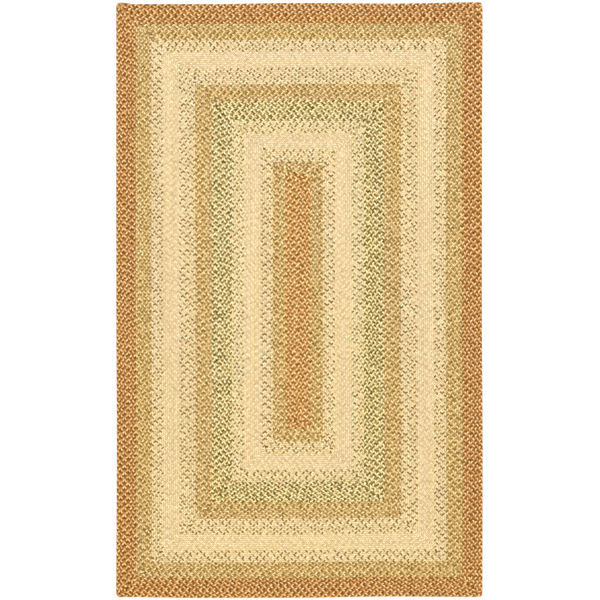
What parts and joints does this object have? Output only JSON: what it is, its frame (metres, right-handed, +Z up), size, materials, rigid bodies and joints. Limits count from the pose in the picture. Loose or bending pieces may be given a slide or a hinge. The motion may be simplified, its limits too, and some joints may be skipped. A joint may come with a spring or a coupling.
{
  "type": "braided rug",
  "caption": "Rectangular braided rug with nested bands of rust, tan, cream and green, one flat braid coiled outwards from a straight centre and laced edge to edge.",
  "frame": {"origin": "centre of the bounding box at the rug's underside, where it lies on the floor", "axes": "+X across the rug's width, +Y along its length towards the end where the braid's tail is, +Z up, out of the upper side"},
  "size_m": [1.5244, 2.4784, 0.009],
  "materials": {
    "rust_yarn": "matte",
    "olive_tan_yarn": "matte",
    "flecked_cream_yarn": "matte",
    "cream_yarn": "matte",
    "green_flecked_yarn": "matte",
    "green_yarn": "matte",
    "tan_rust_yarn": "matte"
  },
  "bodies": {
    "root": {"braid_01_rust_centre": "rust_yarn", "braid_02_olive_tan": "olive_tan_yarn", "braid_03_flecked_cream": "flecked_cream_yarn", "braid_04_cream": "cream_yarn", "braid_05_green_flecked": "green_flecked_yarn", "braid_06_green": "green_yarn", "braid_07_tan_rust": "tan_rust_yarn", "braid_08_flecked_cream": "flecked_cream_yarn", "braid_09_cream": "cream_yarn", "braid_10_flecked_cream": "flecked_cream_yarn", "braid_11_olive_tan": "olive_tan_yarn", "braid_12_rust_border": "rust_yarn"}
  },
  "joints": []
}
